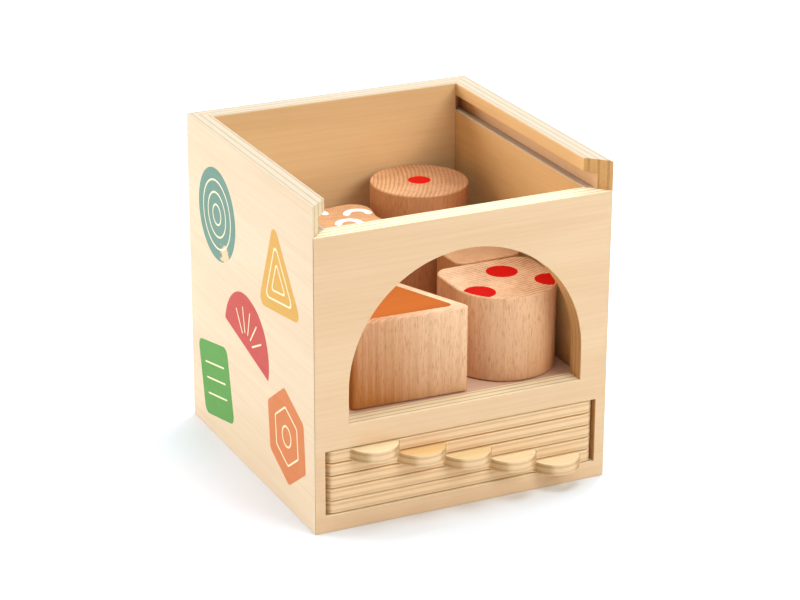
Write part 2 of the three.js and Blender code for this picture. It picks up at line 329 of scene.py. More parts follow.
def make_beech_group():
    """Late wood is where 1/2 - 1/2 cos(2 pi * distance from the pith / ring width) is high."""
    tree, enter, leave = new_group("Beech", {
        "Vector": ["Stock", "Facing", "Shade Drift"], "Float": ["Start", "Rings", "Ends"],
        "Color": ["Pale", "Warm", "Fleck"],
    }, WOOD_OUTPUTS)
    stock = enter["Stock"]
    radius = measure("LENGTH", stretch(stock, (1, 1, 0)))
    reach = weigh(noise(stock, *WANDER), RING_WANDER, radius)
    wave = crests(calc("DIVIDE", reach, RING_WIDTH))
    clear = ease(noise(stock, *CLEARNESS), *CLEAR)
    late = weigh(ease(wave, *LATE), between(clear, FAINT_RINGS, 1.0))
    top = square(split(enter["Facing"])[2])

    band = ease(noise(stock, *BAND), *STRIPE)
    thread = noise(stock, *THREAD)
    dashes = ease(noise(stock, *RAYS), *DASH)
    tone = weigh(band, between(top, *BAND_TONE))
    tone = weigh(ease(thread, *STRIPE), between(top, *THREAD_TONE), tone)
    tone = weigh(late, between(top, RINGS_ON_SIDE, enter["Rings"]), tone)
    tone = weigh(top, enter["Ends"], tone)
    # Painted shade: the tone moves towards the warm colour along Shade Drift, across the block and
    # down to its foot.
    shade_drift = measure("DOT_PRODUCT", stock, enter["Shade Drift"])
    tone = calc("ADD", tone, calc("ADD", shade_drift, enter["Start"]))
    wood = tint(tone, enter["Pale"], enter["Warm"])
    flecks = weigh(dashes, between(top, *DASH_TONE))
    feed(leave, {
        "Color": tint(flecks, wood, enter["Fleck"]),
        "Roughness": weigh(thread, THREAD_ROUGH, BEECH_ROUGH),
        "Height": weigh(dashes, DASH_HEIGHT, weigh(thread, THREAD_HEIGHT)),
    })
    return tree


beech_group = make_beech_group()
print("beech nodes:", len(beech_group.nodes))

# %% [markdown]
# ## The wood finishes
#
# Each finish places a group in a material of its own and gives it its colours. The walls come
# from one kind of sheet, but its copies carry painted light: the left one is greyer with a paler
# end, for the bright light on that side, the right one has a warmer inner face, a painted shade,
# and the front paler edges, a painted light on its shaded sill. The walls' long edges are greyer
# than their faces, a painted highlight on the top edges. The floor and shelf veneer is pinker,
# and the shelf's is darker, a painted shade for the inside of the box. A Bump node turns the
# grain's height into a slight unevenness, and the satin varnish is the shader's specular level.

# %% Finish helpers
BUMP_DEPTH = 0.12 * MM
WOOD_GLOSS = 0.25


def new_finish(name, gloss):
    """A material, the tree of its nodes and the inputs of its one shader."""
    material = bpy.data.materials.new(name)
    material.use_nodes = True
    shader = material.node_tree.nodes["Principled BSDF"].inputs
    shader["Specular IOR Level"].default_value = gloss
    return material, material.node_tree, shader


def relief(height, strength):
    """Normals that lean as the slopes of the height would."""
    values = {"Strength": strength, "Distance": BUMP_DEPTH, "Height": height}
    return add_node(height.id_data, "Bump", values).outputs["Normal"]


def wood_finish(name, group, values, bump):
    """A varnished wood: the group's colour, roughness and height on one shader."""
    material, tree, shader = new_finish(name, WOOD_GLOSS)
    for label in ("Stock", "Facing"):
        layer = add_node(tree, "Attribute", {}, attribute_name=label.lower())
        values[label] = layer.outputs["Vector"]
    wood = add_node(tree, "Group", values, node_tree=group).outputs
    feed(shader, {
        "Base Color": wood["Color"], "Roughness": wood["Roughness"],
        "Normal": relief(wood["Height"], bump),
    })
    return material


def plywood_finish(name, thickness, cross_plies, rim, codes, bump):
    """A sheet of plywood in six colours. A lower rim makes a cross ply wider and softer."""
    values = {"Thickness": thickness * MM, "Cross Plies": cross_plies, "Rim": rim}
    values |= {label: colour(code) for label, code in zip(PLY_COLOURS, codes)}
    return wood_finish(name, plywood_group, values, bump)


print(f"varnish {WOOD_GLOSS}, bumps up to {BUMP_DEPTH / MM:.2f} mm")

# %% Sheets of plywood
WALL = 10.0
LID_THICKNESS = 6.0
SHELF_THICKNESS = 6.0
BASE_THICKNESS = 8.0
WALL_PLIES, BOARD_PLIES = 3, 2
WALL_RIM, FRONT_RIM = 0.74, 0.80
SHEET_BUMP = 0.25
# The third colour of each face is its Inner Shade, a painted shade that warms the inner face.
WALL_FACE = ("#e9c59b", "#e0b78c", "#fffae4")
SHADED_INNER_FACE = ("#e9c59b", "#e0b78c", "#fff4ce")
# Painted highlight: the long edges are greyer than the faces, for the white light on the top edges.
WALL_EDGE = ("#ceb292", "#ab987f")
BOARD_EDGE = ("#dabb92", "#c4a276", "#d7a062")
SHEETS = {
    "wall": (WALL, WALL_PLIES, WALL_RIM, (*WALL_FACE, *WALL_EDGE, "#d7a062")),
    # Painted light: the left sheet is greyer, with a paler end, for the bright light on that side.
    "left": (WALL, WALL_PLIES, WALL_RIM, ("#dec7a3", "#d6b993", "#fffae4", *WALL_EDGE, "#e6cba2")),
    # Painted shade: the right sheet's inner face is warmer.
    "right": (WALL, WALL_PLIES, WALL_RIM, (*SHADED_INNER_FACE, *WALL_EDGE, "#d7a062")),
    # Painted light: the front's paler edges brighten its shaded sill.
    "front": (WALL, WALL_PLIES, FRONT_RIM, (*WALL_FACE, "#f0d8ae", "#bf9d6c", "#d8a468")),
    # Painted shade: the shelf's veneer is darker than the floor's.
    "shelf": (SHELF_THICKNESS, BOARD_PLIES, WALL_RIM, ("#dcb596", "#cc9f7c", "#ffffff", *BOARD_EDGE)),
    "base": (BASE_THICKNESS, BOARD_PLIES, WALL_RIM, ("#eacbb0", "#dab292", "#ffffff", *BOARD_EDGE)),
}
plywood = {
    name: plywood_finish(name + "_plywood", *sheet, SHEET_BUMP) for name, sheet in SHEETS.items()
}
print("sheets:", ", ".join(plywood))

# %% [markdown]
# ## Loops
#
# Nearly every piece here is a flat shape with eased edges, so its plan is a closed loop of
# points. Each point also keeps the direction that faces out of the wood there, because an
# arc knows it exactly. Those directions later ease the edges and shade them without facets.

# %% Loop helpers
ARC_STEP = 4.0
SAME_POINT = 1e-4


def ray(angle):
    """The direction (cos a, sin a) for each angle in radians."""
    return np.stack([np.cos(angle), np.sin(angle)], axis=-1)


def right_of(way):
    """Each direction turned a quarter to the right: (y, -x)."""
    return np.stack([way[:, 1], -way[:, 0]], axis=1)


def cross(first, second):
    """x1 * y2 - y1 * x2, for vectors in the plane."""
    return first[..., 0] * second[..., 1] - first[..., 1] * second[..., 0]


def oblong(x0, y0, x1, y1):
    """The four corners of a rectangle."""
    return [(x0, y0), (x1, y0), (x1, y1), (x0, y1)]


def arc(centre, radius, start, end, hollow=False):
    """Points centre + radius * (cos a, sin a), for a from start to end in degrees, with the
    directions out of the wood: along the ray, or against it where the arc is hollow."""
    count = max(3, math.ceil(abs(end - start) / ARC_STEP) + 1)
    outward = ray(np.radians(np.linspace(start, end, count)))
    return np.array(centre) + radius * outward, -outward if hollow else outward


def join(*runs):
    """One loop from several runs, without points that fall on each other."""
    points = np.vstack([run[0] for run in runs])
    outward = np.vstack([run[1] for run in runs])
    apart = np.linalg.norm(points - np.roll(points, 1, axis=0), axis=1) > SAME_POINT
    return points[apart], outward[apart]


def rounded(corners, radii, steps=5):
    """A polygon with rounded corners. A corner that turns by t is cut back by radius * tan(t / 2)
    on both sides, and its outward direction turns evenly from one side's normal to the other's."""
    corners = np.array(corners, float)
    radii = np.broadcast_to(np.array(radii, float), len(corners))[:, None]
    ahead = unit(np.roll(corners, -1, axis=0) - corners)
    behind = np.roll(ahead, 1, axis=0)
    turn = np.arctan2(cross(behind, ahead), (behind * ahead).sum(axis=1))[:, None]
    side = np.sign(turn)
    normal = right_of(behind)
    centre = corners - radii * np.tan(np.abs(turn) / 2) * behind - side * radii * normal
    facing = np.arctan2(normal[:, 1:], normal[:, :1])
    outward = ray(facing + turn * np.linspace(0, 1, steps + 1))
    points = centre[:, None] + (side * radii)[:, None] * outward
    return join((points.reshape(-1, 2), outward.reshape(-1, 2)))


def drawn_in(corners, distance):
    """A polygon with every side moved in: a corner between sides with normals m and n moves
    by -distance * (m + n) / (1 + m . n)."""
    corners = np.array(corners, float)
    normal = unit(right_of(np.roll(corners, -1, axis=0) - corners))
    before = np.roll(normal, 1, axis=0)
    together = 1 + (before * normal).sum(axis=1, keepdims=True)
    return corners - distance * (before + normal) / together


def around(centres, radius, steps=8):
    """The loop that runs round a convex ring of centres at one distance."""
    return rounded(drawn_in(centres, -radius), radius, steps)


def as_hole(loop):
    """The same loop walked the other way, so that the wood is outside it."""
    points, outward = loop
    return points[::-1], -outward[::-1]


def moved(loop, place, turn=0.0):
    """A loop turned by degrees about its own middle and carried to its place."""
    points, outward = loop
    c, s = ray(np.radians(turn))
    spin = np.array([[c, s], [-s, c]])
    return points @ spin + np.array(place), outward @ spin


print("a rounded square has", len(rounded(oblong(0, 0, 1, 1), 0.2)[0]), "points")

# %% [markdown]
# ## Eased plates
#
# A board, a block and a coat of paint are all plates: a plan with a thickness, and an edge
# that has been eased with sandpaper. The edge is one profile carried along each loop, a quarter
# circle at the top and the bottom with a straight side between. The flat faces fill the space
# between the innermost rings. The normals come from the same formula, so they are exact.

# %% Eased plate
EASE_STEPS = 4


def lifted(plans, heights):
    """Rows of points in the plane, each row raised to its own height, as one list of places."""
    column = np.broadcast_to(heights[:, None, None], (*plans.shape[:2], 1))
    return np.concatenate([plans, column], axis=2).reshape(-1, 3)


def flat_face(places, rings, upward):
    """Triangles between the rings, each turned to face up or down."""
    corners = np.concatenate(rings)
    outlines = [places[ring, :2].tolist() for ring in rings]
    triangles = np.array(tessellate_polygon(outlines))
    first, second, third = (places[corners[triangles[:, i]], :2] for i in range(3))
    area = cross(second - first, third - first)
    triangles = np.where((area > 0)[:, None] == upward, triangles, triangles[:, ::-1])
    return corners[triangles]


def eased_plate(loops, low, high, ease_top, ease_foot=None):
    """Profile at angle a: ease * (1 - cos a) inside the loop, and ease * (1 - sin a) short of
    the rim, for a from 0 on the side to 90 degrees on the flat. The foot may have its own ease."""
    ease_foot = ease_top if ease_foot is None else ease_foot
    rise = np.linspace(0, np.pi / 2, EASE_STEPS + 1)
    fall = rise[::-1]
    inset = np.concatenate([ease_foot * (1 - np.cos(fall)), ease_top * (1 - np.cos(rise))])
    height = np.concatenate([
        low + ease_foot * (1 - np.sin(fall)),
        high - ease_top * (1 - np.sin(rise)),
    ])
    out, up = ray(np.concatenate([-fall, rise])).T
    points, outward = (np.vstack(parts) for parts in zip(*loops))
    places = lifted(points - inset[:, None, None] * outward, height)
    normals = lifted(out[:, None, None] * outward, up)

    rows, count = len(height), len(points)
    here = np.arange(count)
    rings = np.split(here, np.cumsum([len(loop[0]) for loop in loops])[:-1])
    following = np.concatenate([np.roll(ring, -1) for ring in rings])
    corners = np.stack([here, following, following + count, here + count], axis=1)
    quads = corners + count * np.arange(rows - 1)[:, None, None]
    tops = [ring + (rows - 1) * count for ring in rings]
    caps = [flat_face(places, rings, False), flat_face(places, tops, True)]
    return places, normals, quads.reshape(-1, 4), np.vstack(caps)


def in_sheet(plate, order, start):
    """Where each point lies in its sheet and the way it faces there: the plate's own axes, taken
    in the order grain, across and depth."""
    places, normals = plate[:2]
    return {"stock": (places[:, order] + np.array(start)) * MM, "facing": unit(normals)[:, order]}


def add_piece(name, plate, sheet, finish, body, node=None):
    """Puts a plate's arrays into a mesh, gives it its finish and hands it to its body."""
    places, normals, quads, triangles = plate
    mesh = bpy.data.meshes.new(name)
    mesh.from_pydata((places * MM).tolist(), [], quads.tolist() + triangles.tolist())
    mesh.normals_split_custom_set_from_vertices(unit(normals).tolist())
    for label, values in sheet.items():
        layer = mesh.attributes.new(label, "FLOAT_VECTOR", "POINT")
        layer.data.foreach_set("vector", values.astype(np.float32).ravel())
    mesh.materials.append(finish)
    piece = new_object(name, mesh)
    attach(piece, body)
    note = f"{name}: {len(mesh.polygons)} faces"
    if node:
        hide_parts(node)
        low, high = (np.array(corner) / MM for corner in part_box(node))
        off = max(np.abs(places.min(axis=0) - low).max(), np.abs(places.max(axis=0) - high).max())
        note += f", within {off:.2f} mm of the CAD node"
    print(note)
    return piece


print("heights on an edge:", 2 * (EASE_STEPS + 1))

# %% [markdown]
# ## The walls
#
# The sides and the back are lengths of one moulding, mitred at both ends. A moulding is its
# section carried along a straight line, which is again a plate: the section is the plan and the
# length is the thickness. The mitre leans the two ends over by as much as a point lies inside
# the outer face. Each groove of the section is where a lid, the shelf or the stack slides in.

# %% Wall sections
HALF = 75.0
BOX_HEIGHT = 158.0
FRONT_HEIGHT = 143.8
GROOVE_DEPTH = 4.7
LID_GROOVE = (143.8, 151.4)
SHELF_GROOVE = (45.25, 51.75)
LID_BAY = (8.4, 40.5)
TOP_ROUND = 0.9
ARRIS = 0.25
JOINT_GAP = 0.03
JOINT_EASE = 0.10
PAINT_COAT = 0.05
TO_RIGHT, TO_LEFT, TO_FRONT = (1, 0), (-1, 0), (0, -1)


def wall_section(grooves):
    """Section of a wall: across from the outer face to the inner one, with its height."""
    notches = []
    for low, high in grooves:
        notches += [(WALL, low), (WALL - GROOVE_DEPTH, low), (WALL - GROOVE_DEPTH, high), (WALL, high)]
    corners = [(PAINT_COAT, 0), (WALL, 0), *notches, (WALL, BOX_HEIGHT), (PAINT_COAT, BOX_HEIGHT)]
    radii = [ARRIS] * (len(corners) - 2) + [TOP_ROUND] * 2
    return rounded(corners, radii)


def mitred(plate):
    """Both ends leaned over: the end at +w moves back by u, and the end at -w moves up by u."""
    places, normals, quads, triangles = plate
    end = np.sign(places[:, 2])
    places[:, 2] -= end * places[:, 0]
    normals[:, 0] += end * normals[:, 2]
    return places, normals, quads, triangles


def wall_plate(grooves):
    """A mitred wall in its own axes: u inward, v up and w along its length."""
    reach = HALF - JOINT_GAP
    return mitred(eased_plate([wall_section(grooves)], -reach, reach, JOINT_EASE))


def stood(plate, way, place):
    """Stands a plate up at its place: its first axis goes along the way (x, y), its second up and
    its third to the right of the way, (y, -x)."""
    places, normals, quads, triangles = plate
    x, y = way
    turn = np.array([(x, y, 0), (0, 0, 1), (y, -x, 0)], float)
    return places @ turn + np.array(place), normals @ turn, quads, triangles


print("section points:", len(wall_section([LID_GROOVE])[0]))

# %% Side and back walls
SIDE_GROOVES = [LID_BAY, SHELF_GROOVE, LID_GROOVE]
# Grooves, the way inward and the sheet
WALL_PLANS = {
    "left": (SIDE_GROOVES, TO_RIGHT, "left"),
    "right": (SIDE_GROOVES, TO_LEFT, "right"),
    "back": ([SHELF_GROOVE], TO_FRONT, "wall"),
}
SHEET_STEP = 400.0
WALL_ORDER = [2, 1, 0]

for number, (name, (grooves, inward, finish)) in enumerate(WALL_PLANS.items()):
    plain = wall_plate(grooves)
    sheet = in_sheet(plain, WALL_ORDER, (SHEET_STEP * number, 0, 0))
    place = -HALF * np.array([*inward, 0])
    add_piece(f"dressed_{name}_panel", stood(plain, inward, place), sheet,
              plywood[finish], "box", name + "_panel")

# %% [markdown]
# ## The front
#
# The front is a board with two openings cut through it, an arched window and a slot for the
# stack of lids, so it is a plate with one loop for its outline and one for each opening. Its
# two ends are mitred as well: there the outline draws in with the depth below the front face.

# %% Front panel
SILL = 52.0
WINDOW_SHIFT = 1.5
WINDOW_RADIUS = 59.4
WINDOW_SPRING = 68.0
WINDOW_STEPS = 30
SLOT_HALF = 69.7
MITRE_FROM = 70.7
FRONT_EASE = 0.3
PLAIN_ORDER = [0, 1, 2]


def front_plate():
    """The outline, window and slot as loops of one plate, with its ends mitred."""
    reach = HALF - JOINT_GAP
    outline = rounded(oblong(-reach, 0, reach, FRONT_HEIGHT), ARRIS)
    window = rounded(
        oblong(WINDOW_SHIFT - WINDOW_RADIUS, SILL,
               WINDOW_SHIFT + WINDOW_RADIUS, WINDOW_SPRING + WINDOW_RADIUS),
        [ARRIS, ARRIS, WINDOW_RADIUS, WINDOW_RADIUS], WINDOW_STEPS)
    slot = rounded(oblong(-SLOT_HALF, LID_BAY[0], SLOT_HALF, LID_BAY[1]), ARRIS)
    loops = [outline, as_hole(window), as_hole(slot)]
    places, normals, quads, triangles = eased_plate(loops, 0, WALL, FRONT_EASE)
    end = np.where(np.abs(places[:, 0]) > MITRE_FROM, np.sign(places[:, 0]), 0)
    places[:, 0] -= end * (WALL - places[:, 2])
    normals[:, 2] -= end * normals[:, 0]
    return places, normals, quads, triangles


plain = front_plate()
sheet = in_sheet(plain, PLAIN_ORDER, (3 * SHEET_STEP, 0, 0))
sheet["stock"][:, 2] = WALL * MM - sheet["stock"][:, 2]
add_piece("dressed_front_panel", stood(plain, TO_RIGHT, (0, WALL - HALF, 0)), sheet,
          plywood["front"], "box", "front_panel")

# %% [markdown]
# ## Floor and shelf
#
# Two plain boards close the box below and part the blocks from the lids. They are plates lying
# flat, with their grain from side to side.

# %% Floor and shelf
INNER_HALF = 64.75
GROOVED_HALF = 69.45
SHELF_LOW = 45.5
BOARDS = {
    "bottom_panel": ((-INNER_HALF, -INNER_HALF, INNER_HALF, INNER_HALF), 0.0, BASE_THICKNESS, "base"),
    "shelf_panel": ((-GROOVED_HALF, -INNER_HALF, GROOVED_HALF, GROOVED_HALF),
                    SHELF_LOW, SHELF_THICKNESS, "shelf"),
}

for number, (name, (sides, low, thickness, finish)) in enumerate(BOARDS.items()):
    plate = eased_plate([rounded(oblong(*sides), ARRIS)], low, low + thickness, ARRIS)
    sheet = in_sheet(plate, PLAIN_ORDER, (0, SHEET_STEP * number, -low))
    add_piece("dressed_" + name, plate, sheet, plywood[finish], "box", name)

# %% [markdown]
# ## The blocks
#
# Five blocks stand in the box, each one an outline raised to its own height with softened
# edges. The outlines are arcs and straight runs, apart from the scallop, whose radius swells and
# shrinks with the angle. The same outlines, a little larger, are the holes of the lids. Each
# block has its own board of beech: a pale and a warm colour, how much painted shade warms it on
# its left, on its right and at its foot, and how strong the rings and the tone of its ends are.

# %% Block outlines
CYLINDER_RADIUS = 24.3
TRIANGLE_HALF_BASE = 26.5
TRIANGLE_HALF_DEPTH = 28.5
TRIANGLE_CORNER = 3.0
TRIANGLE_CENTRES = [
    (-TRIANGLE_HALF_BASE, -TRIANGLE_HALF_DEPTH), (TRIANGLE_HALF_BASE, -TRIANGLE_HALF_DEPTH),
    (0, TRIANGLE_HALF_DEPTH),
]
ARCH_RADIUS = 25.5
ARCH_DEPTH = 49.41
ARCH_CORNER = 8.0
BAR_SIZE = (36.0, 25.9)
BAR_CORNER = 6.0
SCALLOP_RADIUS = 22.0
SCALLOP_WAVE = 3.0
SCALLOP_LOBES = 4
SCALLOP_TURN = 43.0
SCALLOP_POINTS = 144


def disc(middle, radius):
    """A full circle."""
    return join(arc(middle, radius, 0, 360))


def cylinder_outline(grow=0.0):
    """A circle round the middle."""
    return disc((0, 0), CYLINDER_RADIUS + grow)


def triangle_outline(grow=0.0):
    """A tall triangle with rounded corners."""
    return around(TRIANGLE_CENTRES, TRIANGLE_CORNER + grow)


def arch_outline(grow=0.0):
    """A half circle in front, a straight back and two rounded corners."""
    spring = ARCH_RADIUS - ARCH_DEPTH / 2
    x, y = ARCH_RADIUS - ARCH_CORNER, ARCH_DEPTH / 2 - ARCH_CORNER
    return join(
        arc((0, spring), ARCH_RADIUS + grow, 180, 360),
        arc((x, y), ARCH_CORNER + grow, 0, 90),
        arc((-x, y), ARCH_CORNER + grow, 90, 180))


def bar_outline(grow=0.0):
    """A rectangle with well rounded corners."""
    x, y = (side / 2 - BAR_CORNER for side in BAR_SIZE)
    return around(oblong(-x, -y, x, y), BAR_CORNER + grow)


def scallop_outline(grow=0.0):
    """Radius = middle radius + wave * cos(lobes * (angle - turn)). The way out is square to
    the curve: radius along the ray, less the radius's rate of change along the tangent."""
    angle = np.linspace(0, 2 * np.pi, SCALLOP_POINTS, endpoint=False)
    phase = SCALLOP_LOBES * (angle - np.radians(SCALLOP_TURN))
    radius = (SCALLOP_RADIUS + grow + SCALLOP_WAVE * np.cos(phase))[:, None]
    rate = (-SCALLOP_WAVE * SCALLOP_LOBES * np.sin(phase))[:, None]
    spoke = ray(angle)
    return radius * spoke, unit(radius * spoke + rate * right_of(spoke))


print("scallop points:", len(scallop_outline()[0]))

# %% Blocks
BLOCK_EASE = 1.0
BLOCK_FOOT = 51.8
SHORT_HEIGHT = 42.0
# Outline, place, turn in degrees, height, and the way from the middle to the pith
BLOCKS = {
    "cylinder": (cylinder_outline(), (32.5, 39.5), 0.0, 67.5, (-99, 47)),
    "triangle": (triangle_outline(), (-20.2, -31.39), -2.0, SHORT_HEIGHT, (40, -120)),
    "arch": (arch_outline(), (38.3, -39.1), 0.0, SHORT_HEIGHT, (-25, 130)),
    "bar": (bar_outline(), (45.34, 0.43), 2.0, SHORT_HEIGHT, (60, 90)),
    "scallop": (scallop_outline(), (-16.18, 26.3), 0.0, 58.2, (-60, -90)),
}
BEECH_BUMP = 0.4
FLECK = "#a24a10"
# Pale and warm colour, painted shade on the left, on the right and at the foot, rings, and tone of the
# ends
BLOCK_WOODS = {
    "cylinder": ("#da9e6c", "#a46a40", (-0.05, 0.72, 0.0), 0.70, -0.06),
    "triangle": ("#fdd0a4", "#b16d33", (0.64, -0.10, 0.42), 0.20, 0.0),
    "arch": ("#f8c697", "#b07040", (-0.05, 0.38, 0.38), 0.50, -0.07),
    "bar": ("#eab27c", "#c68c60", (0.1, 0.1, 0.0), 0.35, 0.25),
    "scallop": ("#e6ad76", "#b87e54", (0.1, 0.1, 0.0), 0.35, 0.25),
}
block_tops = {}

for number, (name, (outline, place, turn, height, pith)) in enumerate(BLOCKS.items()):
    placed = moved(outline, place, turn)
    pale, warm, (left_shade, right_shade, foot_shade), rings, ends = BLOCK_WOODS[name]
    width = np.ptp(placed[0][:, 0])
    # The painted shade at a place in the board is start + shade_drift . place
    shade_drift = np.array([(right_shade - left_shade) / width, 0, -foot_shade / height]) / MM
    heart = np.array([*np.add(place, pith), SHEET_STEP * number])
    middle = np.array([*place, BLOCK_FOOT + height / 2]) - heart
    start = (left_shade + right_shade + foot_shade) / 2 - middle * MM @ shade_drift
    board = wood_finish(name + "_beech", beech_group, {
        "Pale": colour(pale), "Warm": colour(warm), "Fleck": colour(FLECK),
        "Shade Drift": shade_drift.tolist(), "Start": float(start), "Rings": rings, "Ends": ends,
    }, BEECH_BUMP)
    plate = eased_plate([placed], BLOCK_FOOT, BLOCK_FOOT + height, BLOCK_EASE)
    sheet = in_sheet(plate, PLAIN_ORDER, -heart)
    add_piece(f"dressed_{name}_block", plate, sheet, board,
              name + "_block", name + "_block")
    block_tops[name] = (placed, BLOCK_FOOT + height)

# %% [markdown]
# ## The lids
#
# Five lids lie in the slot, each with a half round tab to pull it by and a hole for one of the
# blocks. The tab is a circle that meets the front edge through two small fillets, and it steps to
# the right lid by lid. The lids are sanded a touch thinner than the space they have, and rounder
# underneath, so a thin shadow parts each one from the next. Each has its own face veneer.

# %% Lids
LID_HALF = 69.0
LID_FRONT = -74.5
LID_BACK = 64.5
LID_CORNER = 4.0
LID_EASE = 0.4
LID_UNDER = 0.6
LID_SANDED = 0.15
LID_FLOOR = 8.7
LID_PITCH = 6.3
LID_RIM = 0.45
LID_BUMP = 0.3
TAB_CHORD = 24.0
TAB_REACH = LID_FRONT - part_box("lid_1")[0][1] / MM
TAB_FILLET = 2.5
FIRST_TAB = -45.0
TAB_PITCH = 23.7
HOLE_CLEARANCE = 1.5
HOLES = [cylinder_outline, triangle_outline, arch_outline, bar_outline, scallop_outline]
LID_FACES = [
    ("#ffe4b6", "#f2d29c"), ("#f4c888", "#e6b674"), ("#fad9a2", "#ecc88e"),
    ("#ffe4b6", "#f2d29c"), ("#ffe8be", "#f4d8a6"),
]
LID_EDGES = ("#ffffff", "#eec799", "#d8b084", "#d2a874")


def tab_runs(x):
    """A tab's radius r follows from its chord c and reach h: r = (c * c / 4 + h * h) / (2 h)."""
    radius = (TAB_CHORD ** 2 / 4 + TAB_REACH ** 2) / (2 * TAB_REACH)
    y = LID_FRONT - TAB_REACH + radius
    fillet_y = LID_FRONT - TAB_FILLET
    aside = math.sqrt((radius + TAB_FILLET) ** 2 - (y - fillet_y) ** 2)
    lean = math.degrees(math.atan2(y - fillet_y, aside))
    return [
        arc((x - aside, fillet_y), TAB_FILLET, 90, lean, hollow=True),
        arc((x, y), radius, 180 + lean, 360 - lean),
        arc((x + aside, fillet_y), TAB_FILLET, 180 - lean, 90, hollow=True),
    ]


def lid_outline(tab_x):
    """A board with rounded corners and one tab on its front edge."""
    x, front, rear = LID_HALF - LID_CORNER, LID_FRONT + LID_CORNER, LID_BACK - LID_CORNER
    return join(
        arc((-x, front), LID_CORNER, 180, 270), *tab_runs(tab_x),
        arc((x, front), LID_CORNER, 270, 360),
        arc((x, rear), LID_CORNER, 0, 90), arc((-x, rear), LID_CORNER, 90, 180))


for index, (hole, face) in enumerate(zip(HOLES, LID_FACES)):
    name = f"lid_{index + 1}"
    low = LID_FLOOR + (len(HOLES) - 1 - index) * LID_PITCH
    loops = [lid_outline(FIRST_TAB + index * TAB_PITCH), as_hole(hole(HOLE_CLEARANCE))]
    plate = eased_plate(
        loops, low + LID_SANDED, low + LID_THICKNESS - LID_SANDED, LID_EASE, LID_UNDER)
    sheet = in_sheet(plate, PLAIN_ORDER, (SHEET_STEP * index, 0, -low))
    finish = plywood_finish(
        name + "_plywood", LID_THICKNESS, BOARD_PLIES, LID_RIM, (*face, *LID_EDGES), LID_BUMP)
    add_piece("dressed_" + name, plate, sheet, finish, name, name)

# %% [markdown]
# ## Paint
#
# The paint on the blocks and on the side is one thin coat on bare wood. A picture would do it,
# but a plate a few hundredths of a millimetre thick keeps its edge sharp in any view. The grain
# still shows as a faint unevenness, so each paint has a noise that runs with the grain and one
# for uneven cover. A scuff is a ragged patch of bare wood.

# %% Paint finish
BARE_WOOD = "#dfc097"
PAINT_GLOSS = 0.05
PAINT_BUMP = 0.3
ACROSS_WAVES, ALONG_WAVES = 700.0, 24.0
PAINT_NOISE = (3.0, 0.6)
COVER = ((60, 60, 60), *PAINT_NOISE)
THIN = (0.45, 0.80)
GRAIN_WEAR, COVER_WEAR = 0.30, 0.25
PAINT_ROUGH, PAINT_GRAIN_ROUGH = 0.55, 0.2
RAGGED = ((260, 260, 260), 5.0, 0.75)
NEAR_WEIGHT = 0.6
SCUFF_EDGE = (0.75, 0.78)
GRAIN_X, GRAIN_Y = 0, 1


def scuffed(place, paint, middle, reach):
    """The paint with a ragged bare patch, where nearness to its middle plus noise passes a limit."""
    near = weigh(measure("DISTANCE", place, middle), -1 / reach, 1.0)
    worn = weigh(near, NEAR_WEIGHT, noise(place, *RAGGED))
    return tint(ease(worn, *SCUFF_EDGE), paint, colour(BARE_WOOD))


def paint_finish(name, code, worn_code, along, scuff=None):
    """A matt coat whose cover varies a little, on wood whose grain runs along one axis."""
    material, tree, shader = new_finish(name, PAINT_GLOSS)
    place = add_node(tree, "TexCoord", {}).outputs["Object"]
    waves = [ACROSS_WAVES] * 3
    waves[along] = ALONG_WAVES
    grain = noise(place, waves, *PAINT_NOISE)
    cover = noise(place, *COVER)
    thin = weigh(ease(grain, *THIN), GRAIN_WEAR)
    thin = weigh(ease(cover, *THIN), COVER_WEAR, thin)
    paint = tint(thin, colour(code), colour(worn_code))
    if scuff:
        paint = scuffed(place, paint, *scuff)
    feed(shader, {
        "Base Color": paint, "Roughness": weigh(grain, PAINT_GRAIN_ROUGH, PAINT_ROUGH),
        "Normal": relief(grain, PAINT_BUMP),
    })
    return material


print("paint gloss:", PAINT_GLOSS)

# %% Paints
SCUFF = (np.array([-75.0, 29.0, 100.0]) * MM, 9.0 * MM)
# Full and worn colour, the axis of the grain, and a scuff's middle and reach
PAINTS = {
    "red": ("#c80d03", "#b80b03", GRAIN_X),
    "orange": ("#b65c1f", "#aa541a", GRAIN_X),
    "white": ("#fbf6ee", "#efe2d2", GRAIN_X),
    "teal": ("#749181", "#6a8776", GRAIN_Y, SCUFF),
    "mustard": ("#d3a356", "#c9994c", GRAIN_Y),
    "crimson": ("#c05950", "#b54f48", GRAIN_Y),
    "green": ("#659850", "#5b8e48", GRAIN_Y),
    "coral": ("#ce7f51", "#c47447", GRAIN_Y),
    "cream": ("#e9ddb4", "#e1d1a4", GRAIN_Y),
}
paints = {name: paint_finish(name + "_paint", *paint) for name, paint in PAINTS.items()}
print("paints:", ", ".join(paints))

# %% [markdown]
# ## Brush work
#
# Painted shapes are loops as well. A dot that runs over the rim of a block is pulled back to the
# rim, and a stroke is its middle line moved to both sides.

# %% Brush helpers
PARALLEL = 1e-9


def cut_at(loop, middle, edge):
    """Pulls each point of a loop back to where its ray from the middle crosses the edge.
    The ray m + t d meets the side p + s e where t = (p - m) x e / (d x e), with s from 0 to 1."""
    points, outward = loop
    spoke = (points - np.array(middle))[:, None]
    side = (np.roll(edge[0], -1, axis=0) - edge[0])[None]
    gap = (edge[0] - np.array(middle))[None]
    turn = cross(spoke, side)
    turn = np.where(np.abs(turn) < PARALLEL, PARALLEL, turn)
    along = cross(gap, side) / turn
    beside = cross(gap, spoke) / turn
    hit = (along > 0) & (beside >= 0) & (beside <= 1)
    reach = np.where(hit, along, np.inf).min(axis=1)
    return np.array(middle) + spoke[:, 0] * np.minimum(reach, 1.0)[:, None], outward


